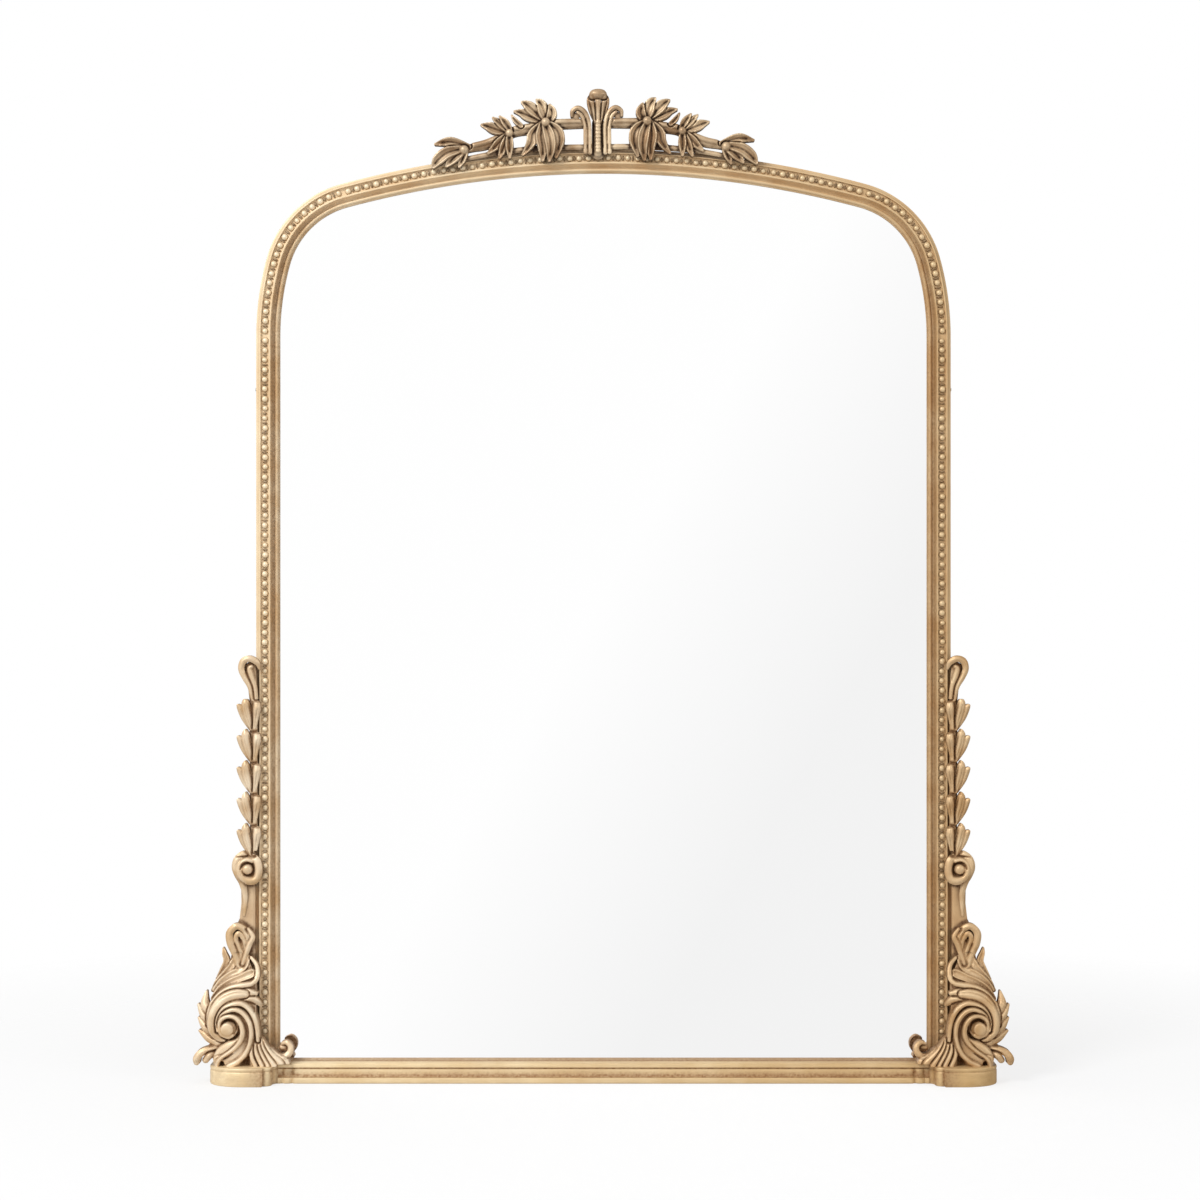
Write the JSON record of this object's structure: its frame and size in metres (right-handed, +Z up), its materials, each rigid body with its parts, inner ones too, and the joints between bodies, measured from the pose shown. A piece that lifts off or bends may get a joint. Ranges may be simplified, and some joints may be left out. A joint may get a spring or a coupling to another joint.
{
  "type": "pier mirror",
  "caption": "Arched gilt wall mirror with pearl beading, bellflower side drops, acanthus feet on serpentine plinths, a leafy crest and swinging hanging rings.",
  "frame": {"origin": "centre of the bounding box in X and Y, at the floor under the plinths", "axes": "+Z up, +X to the viewer's right, the glass faces -Y and the wall is at +Y"},
  "size_m": [0.7558, 0.062, 0.9162],
  "materials": {
    "gilt_frame": "satin antiqued gold leaf over gesso on pine, worn at the edges",
    "gilt_base": "satin gold leaf, streaked and rubbed along its length",
    "gilt_board": "dull gold leaf over gesso",
    "gilt_pearls": "cast composition pearls, pale worn gold leaf",
    "gilt_crest": "cast composition, darker browned gold leaf",
    "gilt_carving": "cast composition carving, satin antiqued gold leaf with brown patina in the recesses",
    "mirror_glass": "silvered flat glass",
    "backing_wood": "bare aged pine board",
    "clip_steel": "dull zinc-plated steel",
    "screw_steel": "zinc-plated steel",
    "hanger_steel": "dull plated steel strap",
    "ring_steel": "plated steel ring",
    "bumper_felt": "dark pressed felt",
    "dowel_wood": "bare beech"
  },
  "bodies": {
    "frame": {"left_stile": "gilt_frame", "right_stile": "gilt_frame", "left_shoulder": "gilt_frame", "right_shoulder": "gilt_frame", "arch_rail": "gilt_frame", "base_rail": "gilt_base", "left_plinth": "gilt_base", "right_plinth": "gilt_base", "left_wing_board": "gilt_board", "right_wing_board": "gilt_board", "left_stile_pearls": "gilt_pearls", "right_stile_pearls": "gilt_pearls", "left_shoulder_pearls": "gilt_pearls", "right_shoulder_pearls": "gilt_pearls", "arch_pearls": "gilt_pearls", "crest_plume": "gilt_crest", "left_crest_spray": "gilt_crest", "right_crest_spray": "gilt_crest", "left_top_hook": "gilt_carving", "right_top_hook": "gilt_carving", "left_husk_drop": "gilt_carving", "right_husk_drop": "gilt_carving", "left_volute": "gilt_carving", "right_volute": "gilt_carving", "left_crook": "gilt_carving", "right_crook": "gilt_carving", "left_acanthus": "gilt_carving", "right_acanthus": "gilt_carving", "left_heel_curl": "gilt_carving", "right_heel_curl": "gilt_carving", "left_corner_curl": "gilt_carving", "right_corner_curl": "gilt_carving", "mirror_glass": "mirror_glass", "backing_board": "backing_wood", "retaining_clips": "clip_steel", "clip_screws": "screw_steel", "left_hanger_strap": "hanger_steel", "right_hanger_strap": "hanger_steel", "hanger_screws": "screw_steel", "wall_bumpers": "bumper_felt", "frame_dowels": "dowel_wood"},
    "left_ring": {"left_hanger_ring": "ring_steel"},
    "right_ring": {"right_hanger_ring": "ring_steel"}
  },
  "joints": [
    {"name": "left_ring_hinge", "type": "hinge", "parent": "frame", "child": "left_ring", "pos_m": [-0.3142, 0.02822, 0.642], "axis": [1, 0, 0], "range_deg": [0, 175]},
    {"name": "right_ring_hinge", "type": "hinge", "parent": "frame", "child": "right_ring", "pos_m": [0.3142, 0.02822, 0.642], "axis": [1, 0, 0], "range_deg": [0, 175]}
  ]
}
